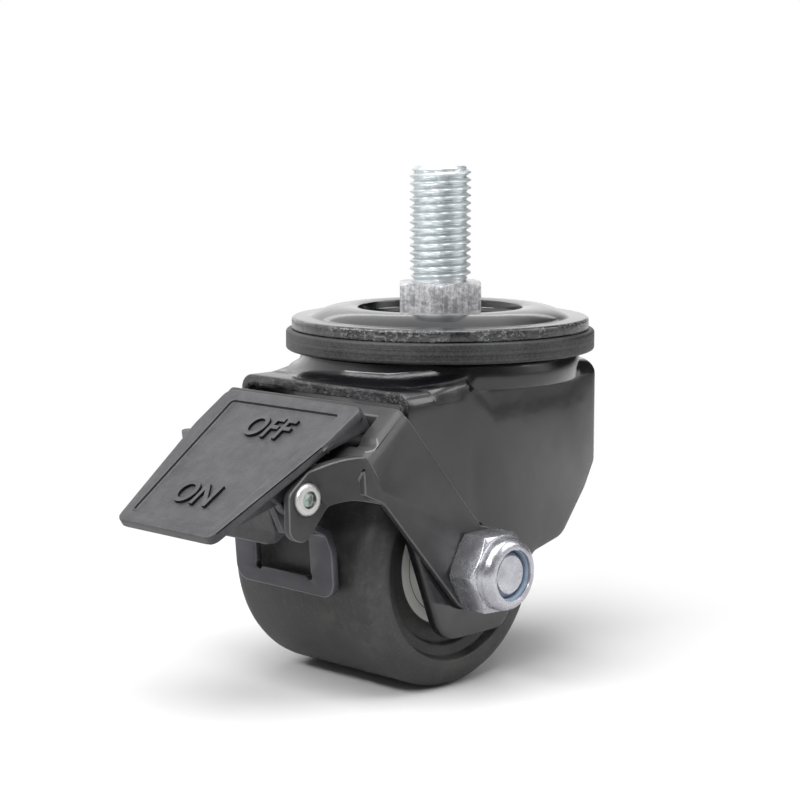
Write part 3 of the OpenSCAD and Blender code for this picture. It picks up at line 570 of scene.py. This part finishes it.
# Hexagon whose ends are turned down to a cone at the corners
def hexagonPrism(shape, acrossFlats, low, high, chamfers, turn):
    flat = acrossFlats / 2
    sixth = math.pi / 3
    sideSteps, capShare = 16, 0.7
    angles = [sixth * i / sideSteps for i in range(6 * sideSteps)]
    full = [flat / math.cos(angle % sixth - sixth / 2) for angle in angles]

    def ring(reaches, levels):
        return [shape.verts.new((r * mm * math.cos(a + turn), r * mm * math.sin(a + turn), z * mm))
                for a, r, z in zip(angles, reaches, levels)]

    ends = []
    for level, sign, size in ((low, 1, chamfers[0]), (high, -1, chamfers[1])):
        start = flat / math.cos(sixth / 2) - size
        cone = [level + sign * max(0.0, away - start) * math.tan(sixth / 2) for away in full]
        face = [level] * len(full)
        ends.append([ring([start * capShare] * len(full), face),
                     ring([min(start, away) for away in full], face), ring(full, cone)])
    chain = ends[0] + ends[1][::-1]
    made = [shape.faces.new(list(reversed(chain[0]))), shape.faces.new(chain[-1])]
    for first, second in zip(chain, chain[1:]):
        for i in range(len(full)):
            j = (i + 1) % len(full)
            made.append(shape.faces.new((first[i], first[j], second[j], second[i])))
    bmesh.ops.remove_doubles(shape, verts=[point for row in chain for point in row], dist=0.0005 * mm)
    made = [face for face in made if face.is_valid]
    bmesh.ops.recalc_face_normals(shape, faces=made)
    return made


# Stem: thread, hexagon and king pin
stem = {"crest radius": 8.0, "depth": 1.2, "pitch": 2.0, "length": 29.4, "end chamfer": 1.6, "runout": 1.1,
        "foot": 0.6, "core": 6.8, "core start": -1, "overlap": 0.4, "hexagon": 21.0, "hexagon height": 9.6,
        "hexagon turn": 44.5, "hexagon chamfers": (0.3, 1.5), "pin radius": 7.0, "pin start": -9.4,
        "pin end": -33.91, "pin chamfer": 1, "smooth up to": 35}
shape = threadedRod("stemThread", stem, finishes["zinc"])
bmesh.ops.translate(shape, vec=(0, 0, stem["foot"] * mm), verts=shape.verts)
coreTop = stem["foot"] + stem["overlap"]
turned(shape, [(0, stem["core start"]), (stem["core"], stem["core start"]),
               (stem["core"], coreTop), (0, coreTop)])
hexagonFaces = hexagonPrism(shape, stem["hexagon"], -stem["hexagon height"], 0, stem["hexagon chamfers"],
                            math.radians(stem["hexagon turn"]))
for face in hexagonFaces:
    face.material_index = 1
turned(shape, [(0, stem["pin end"]), (stem["pin radius"] - stem["pin chamfer"], stem["pin end"]),
               (stem["pin radius"], stem["pin end"] + stem["pin chamfer"]),
               (stem["pin radius"], stem["pin start"]), (0, stem["pin start"])])
stemFinishes = [finishes["zinc"], finishes["hexZinc"]]
stemMesh = meshFrom(shape, "threadedStem")
stemPiece = addPiece("threadedStem", stemMesh, "mount", stemFinishes, stem["smooth up to"])
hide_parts("threaded_stem")
print("stem: helical thread, hexagon, king pin")

# Axle bolt: head, shank and the threaded end inside the nut
bolt = {"crest radius": 6.0, "depth": 1.0, "pitch": 1.75, "length": 18.0, "end chamfer": 1.3, "runout": 0.9,
        "end": 42.8, "overlap": 0.5, "head across": 19.0, "head low": -32.0, "head height": 7.5,
        "head chamfers": (1.5, 0.3), "head turn": 10, "smooth up to": 35}
shape = threadedRod("boltThread", bolt, finishes["axleZinc"])
threadStart = bolt["end"] - bolt["length"]
bmesh.ops.translate(shape, vec=(0, 0, threadStart * mm), verts=shape.verts)
shankLow, shankHigh = bolt["head low"] - bolt["overlap"], threadStart + bolt["overlap"]
turned(shape, [(0, shankLow), (bolt["crest radius"], shankLow),
               (bolt["crest radius"], shankHigh), (0, shankHigh)])
hexagonPrism(shape, bolt["head across"], bolt["head low"] - bolt["head height"], bolt["head low"],
             bolt["head chamfers"], math.radians(bolt["head turn"]))
alongAxle = Matrix.Translation(axlePlace) @ Matrix.Rotation(math.pi / 2, 4, "X")
bmesh.ops.transform(shape, matrix=alongAxle, verts=shape.verts)
boltMesh = meshFrom(shape, "axleBolt")
boltPiece = addPiece("axleBolt", boltMesh, "fork", [finishes["axleZinc"]], bolt["smooth up to"])
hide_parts("axle_bolt")
print("axle bolt: head, shank, threaded end")

# Bearing shields: pressed rings, dished towards the balls
shield = {"inner": 9.45, "outer": 12.85, "faces": (20.85, 11.15), "dish": 0.35, "back": 0.60,
          "inner roll": (0.55, 0.95), "outer roll": (0.40, 0.75), "inner lip": (0.30, 0.02),
          "outer lip": 0.05, "back step": 0.2, "smooth up to": 30}
inner, outer = shield["inner"], shield["outer"]
innerRoll, outerRoll = shield["inner roll"], shield["outer roll"]
# half section as radius and depth behind the bearing's face
shieldSection = [(inner, shield["inner lip"][0]), (inner, shield["inner lip"][1]), (inner + innerRoll[0], 0),
                 (inner + innerRoll[1], shield["dish"]), (outer - outerRoll[1], shield["dish"]),
                 (outer - outerRoll[0], 0), (outer, shield["outer lip"]), (outer, shield["back"]),
                 (inner + shield["back step"], shield["back"])]
shape = bmesh.new()
for side in (-1, 1):
    for level, outward in zip(shield["faces"], (1, -1)):
        place = Matrix.Translation(axlePlace) @ Matrix.Rotation(-math.pi / 2 * side, 4, "X")
        turned(shape, [(radius, level - depth * outward) for radius, depth in shieldSection], place)
shieldMesh = meshFrom(shape, "bearingShields")
shieldPiece = addPiece("bearingShields", shieldMesh, "wheel", [finishes["shield"]],
                       shield["smooth up to"])
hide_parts("bearing_shields")
print("bearing shields")

# The pedal's own directions: outward down its slope, upward off its face
pedal = {"slope": 32.2, "pivot along": 25.1, "pivot depth": 8.2, "panel depth": 0.7, "panel": (2.2, 42.8),
         "panel half width": 22}
slope = math.radians(pedal["slope"])
outward = Vector((-math.cos(slope), 0, -math.sin(slope)))
upward = Vector((-math.sin(slope), 0, math.cos(slope)))
pedalTop = Vector(rivetPlace) - outward * pedal["pivot along"] * mm + upward * pedal["pivot depth"] * mm


# Walls round the sunk panel: steep faces just under the pedal's top, which take the near-black finish as
# painted shade
def shadedPanelWall(spot, facing):
    depth = (pedalTop - spot).dot(upward)
    along = (spot - pedalTop).dot(outward)
    low, high = (end * mm for end in pedal["panel"])
    inside = low < along < high and abs(spot.y) < pedal["panel half width"] * mm
    return facing.dot(upward) < 0.8 and 0.02 * mm < depth < pedal["panel depth"] * mm and inside


# The plate's sheared rim, outside its raised ring
def plateRim(spot, facing):
    return math.hypot(spot.x, spot.y) > shearedFrom["plate radius"] * mm


# The sheared front edge of the fork's tongue
def tongueEdge(spot, facing):
    return spot.x < shearedFrom["tongue x"] * mm and facing.x < shearedFrom["tongue facing"]


# Pieces whose sharp edges are rounded over, with the rounding's width
shearedFrom = {"plate radius": 38.5, "tongue x": -42.3, "tongue facing": -0.4}
edgeWidth = {"plate": 0.25, "fork": 0.45, "seal": 0.2, "sheet": 0.28, "pedal": 0.45, "wheel": 0.3,
             "zinc": 0.15}
soften("top_plate", "topPlate", edgeWidth["plate"], "plateGloss", "plateEdge", plateRim)
forkPiece = soften("fork", "forkShell", edgeWidth["fork"], "gloss", "lipEdge", tongueEdge)
soften("seal_ring", "sealRing", edgeWidth["seal"], "seal")
soften("brake_bracket", "brakeBracket", edgeWidth["sheet"], "satin", "satinEdgeWearAndHighlight")
soften("brake_plate", "brakePlate", edgeWidth["sheet"], "coolSatin", "satinEdgeWearAndHighlight")
soften("brake_pedal", "brakePedal", edgeWidth["pedal"], "pedal", "pedalWallShade", shadedPanelWall)
soften("wheel", "wheelBody", edgeWidth["wheel"], "tread")
soften("pedal_rivet", "pedalRivet", edgeWidth["zinc"], "rivetZinc")
soften("axle_nut", "axleNut", edgeWidth["zinc"], "axleZinc")
print("edges rounded")

# Foot of the fork's dish: a hollow fillet that follows the ramp down onto the tongue
foot = {"radius": 36.4, "fillet": 4.6, "least": 0.2, "half width": 29.5, "shoulder": -20.5, "lip": -23.0,
        "ramp start": -21.5, "ramp run": 13.0, "sunk": 0.6, "inward": 0.8, "steps": 60}


# Top of the fork's sheet at a place along X
def sheetLevel(x):
    share = (x - foot["ramp start"] + foot["ramp run"]) / foot["ramp run"]
    return foot["lip"] + (foot["shoulder"] - foot["lip"]) * min(1, max(0, share))


def footSection(angle, size):
    ends = foot["radius"] + size, foot["radius"] - foot["inward"]
    outerLevel, innerLevel = (sheetLevel(away * math.cos(angle)) for away in ends)
    section = []
    for turn in range(0, 91, 10):
        away = foot["radius"] + size * (1 - math.sin(math.radians(turn)))
        section.append((away, sheetLevel(away * math.cos(angle)) + size * (1 - math.cos(math.radians(turn)))))
    return section + [(ends[1], innerLevel + size), (ends[1], innerLevel - foot["sunk"]),
                      (ends[0], outerLevel - foot["sunk"])]


shape = bmesh.new()
shape.from_mesh(forkPiece.data)
widest = math.asin(foot["half width"] / (foot["radius"] + foot["least"]))
rows = []
for step in range(foot["steps"] + 1):
    share = 2 * step / foot["steps"] - 1
    angle = math.pi + widest * share
    size = foot["fillet"] * (1 - abs(share) ** 5) + foot["least"]
    row = []
    for away, level in footSection(angle, size):
        y = max(-foot["half width"], min(foot["half width"], away * math.sin(angle)))
        row.append(shape.verts.new((away * mm * math.cos(angle), y * mm, level * mm)))
    rows.append(row)
made = [shape.faces.new(reversed(rows[0])), shape.faces.new(rows[-1])]
for first, second in zip(rows, rows[1:]):
    for i in range(len(first)):
        j = (i + 1) % len(first)
        made.append(shape.faces.new((first[i], first[j], second[j], second[i])))
bmesh.ops.recalc_face_normals(shape, faces=made)
for face in made:
    face.smooth = True
shape.to_mesh(forkPiece.data)
shape.free()
forkPiece.data.set_sharp_from_angle(angle=math.radians(rounding["smooth up to"]))
print("dish foot")

# Raised lettering on the pedal's panel
lettering = {"OFF": {"along": 11.5, "across": -1.5, "height": 7.6, "width": 15.0, "piece": "letteringOff"},
             "ON": {"along": 36.9, "across": 0.4, "height": 7.6, "width": 13.2, "piece": "letteringOn"}}
letters = {"root": 0.35, "lowered": 0.1, "swell": 0.018, "spacing": 1.05, "smooth up to": 30}
letterDepth = pedal["panel depth"] + letters["root"]
letterMiddle = -pedal["panel depth"] / 2 - letters["lowered"]
for word, sizes in lettering.items():
    curve = bpy.data.curves.new(sizes["piece"] + "Curve", "FONT")
    curve.body = word
    curve.offset = letters["swell"]
    curve.space_character = letters["spacing"]
    curve.extrude = 0.5
    curve.resolution_u = 6
    helper = bpy.data.objects.new(sizes["piece"] + "Helper", curve)
    bpy.context.scene.collection.objects.link(helper)
    mesh = bakedMesh(helper, sizes["piece"])
    xs = [point.co.x for point in mesh.vertices]
    ys = [point.co.y for point in mesh.vertices]
    centre = Vector(((min(xs) + max(xs)) / 2, (min(ys) + max(ys)) / 2, 0))
    stretch = Matrix.Diagonal((sizes["width"] * mm / (max(xs) - min(xs)),
                               sizes["height"] * mm / (max(ys) - min(ys)), letterDepth * mm, 1))
    spot = pedalTop + outward * sizes["along"] * mm + Vector((0, sizes["across"] * mm, 0))
    spot += upward * letterMiddle * mm
    onPanel = Matrix((Vector((0, -1, 0)), -outward, upward)).transposed().to_4x4()
    mesh.transform(Matrix.Translation(spot) @ onPanel @ stretch @ Matrix.Translation(-centre))
    shape = bmesh.new()
    shape.from_mesh(mesh)
    bmesh.ops.remove_doubles(shape, verts=shape.verts, dist=0.002 * mm)
    bmesh.ops.recalc_face_normals(shape, faces=shape.faces)
    shape.to_mesh(mesh)
    shape.free()
    for face in mesh.polygons:
        # the letters' steep side walls take the near-black finish: painted shade
        face.material_index = 1 if face.normal.dot(upward) < 0.8 else 0
    letterFinishes = [finishes["pedal"], finishes["pedalWallShade"]]
    addPiece(sizes["piece"], mesh, "pedal", letterFinishes, letters["smooth up to"])
print("lettering: OFF and ON")

# Floor: it takes the shadow near the castor and is plain white farther off
stage = {"floor": -0.1003, "reach": 3.0, "fade": (0.05, 0.26),
         "dark": (0.61, 0.61, 0.61), "light": (0.65, 0.65, 0.65)}
floorPaint = Paint("paleFloor")
pale = floorPaint.blend(floorPaint.noise(8, 3, 0.5), stage["dark"], stage["light"])
nearby = floorPaint.node("ShaderNodeBsdfDiffuse", {}, {"Color": pale, "Roughness": 0.6})
plain = floorPaint.node("ShaderNodeEmission", {}, {"Color": (1, 1, 1, 1), "Strength": 1.0})
watched = floorPaint.node("ShaderNodeLightPath", out="Is Camera Ray")
away = floorPaint.reach("Z", (-0.02, 0, 0)).rise(*stage["fade"])
mixed = floorPaint.node("ShaderNodeMixShader", {}, [watched * away, nearby, plain])
floorPaint.node("ShaderNodeOutputMaterial", {}, [mixed])
floorMesh = bpy.data.meshes.new("paleFloor")
reach = stage["reach"]
floorCorners = [(x * reach, y * reach, stage["floor"]) for x, y in ((-1, -1), (1, -1), (1, 1), (-1, 1))]
floorMesh.from_pydata(floorCorners, [], [(0, 1, 2, 3)])
floorMesh.materials.append(floorPaint.owner)
floor = bpy.data.objects.new("paleFloor", floorMesh)
bpy.context.scene.collection.objects.link(floor)

# Room: white to the camera, but paint and metal see it darker in front and at a curtain on the right
roomLook = {"front": (-0.70, -0.70, -0.10), "front spread": (0.05, 0.75), "front dimming": 0.84,
            "curtain": (0.95, -0.10, 0.28), "curtain spread": (0.74, 0.93), "curtain dimming": 0.97,
            "fill": 0.55}
studio = Paint("studio", bpy.data.worlds.new("studio"))
bpy.context.scene.world = studio.owner
compass = studio.node("ShaderNodeTexCoord", out="Generated")


def dimmed(side):
    toSide = [compass, roomLook[side]]
    facing = studio.node("ShaderNodeVectorMath", {"operation": "DOT_PRODUCT"}, toSide, "Value")
    return 1 - facing.rise(*roomLook[side + " spread"]) * roomLook[side + " dimming"]


cameraRay = studio.node("ShaderNodeLightPath", out="Is Camera Ray")
glossyRay = studio.node("ShaderNodeLightPath", out="Is Glossy Ray")
clearRay = studio.node("ShaderNodeLightPath", out="Is Transmission Ray")
seen = studio.node("ShaderNodeMath", {"operation": "MAXIMUM"}, [cameraRay, glossyRay])
seen = studio.node("ShaderNodeMath", {"operation": "MAXIMUM"}, [seen, clearRay])
tone = dimmed("front") * dimmed("curtain")
tone = tone + (1 - tone) * cameraRay
strength = roomLook["fill"] + seen * (1 - roomLook["fill"])
backdrop = studio.node("ShaderNodeBackground", {}, {"Color": (1, 1, 1, 1), "Strength": tone * strength})
studio.node("ShaderNodeOutputWorld", {}, [backdrop])

# Soft lamps round the castor
middle = Vector((-0.02, 0, -0.045))
lamps = {
    "topSoftbox": {"place": (-0.15, -0.10, 0.85), "size": (0.9, 0.9), "power": 10.0},
    "leftStrip": {"place": (-0.80, 0.05, 0.62), "size": (1.5, 0.16), "power": 13.0},
    "backStrip": {"place": (0.50, 0.62, 0.40), "size": (0.9, 0.09), "power": 0.3},
    "rightSoftbox": {"place": (0.55, -0.66, 0.50), "size": (0.6, 0.6), "power": 3.8},
}
for name, sizes in lamps.items():
    light = bpy.data.lights.new(name, "AREA")
    light.shape = "RECTANGLE"
    light.size, light.size_y = sizes["size"]
    light.energy = sizes["power"]
    lamp = bpy.data.objects.new(name, light)
    lamp.location = sizes["place"]
    lamp.rotation_euler = (middle - Vector(sizes["place"])).to_track_quat("-Z", "Y").to_euler()
    bpy.context.scene.collection.objects.link(lamp)

# Camera at the photograph's angle
view = {"turn": 45.85, "pitch": 7.83, "distance": 0.51607, "focal pixels": 2026.13, "picture": 800,
        "sensor": 36.0, "target": (-20.51, -5.29, -28.93)}
turn, pitch = math.radians(view["turn"]), math.radians(view["pitch"])
back = Vector((-math.sin(turn) * math.cos(pitch), -math.cos(turn) * math.cos(pitch), math.sin(pitch)))
right = Vector((math.cos(turn), -math.sin(turn), 0))
cameraData = bpy.data.cameras.new("photoCamera")
cameraData.sensor_width = view["sensor"]
cameraData.sensor_fit = "HORIZONTAL"
cameraData.lens = view["focal pixels"] / view["picture"] * view["sensor"]
cameraData.clip_start = 0.01
camera = bpy.data.objects.new("photoCamera", cameraData)
cameraPlace = Vector(view["target"]) * mm + back * view["distance"]
cameraTurn = Matrix((right, back.cross(right), back)).transposed().to_4x4()
camera.matrix_world = Matrix.Translation(cameraPlace) @ cameraTurn
bpy.context.scene.collection.objects.link(camera)
bpy.context.scene.camera = camera
bpy.context.scene.view_settings.view_transform = "Standard"
print("studio and camera")
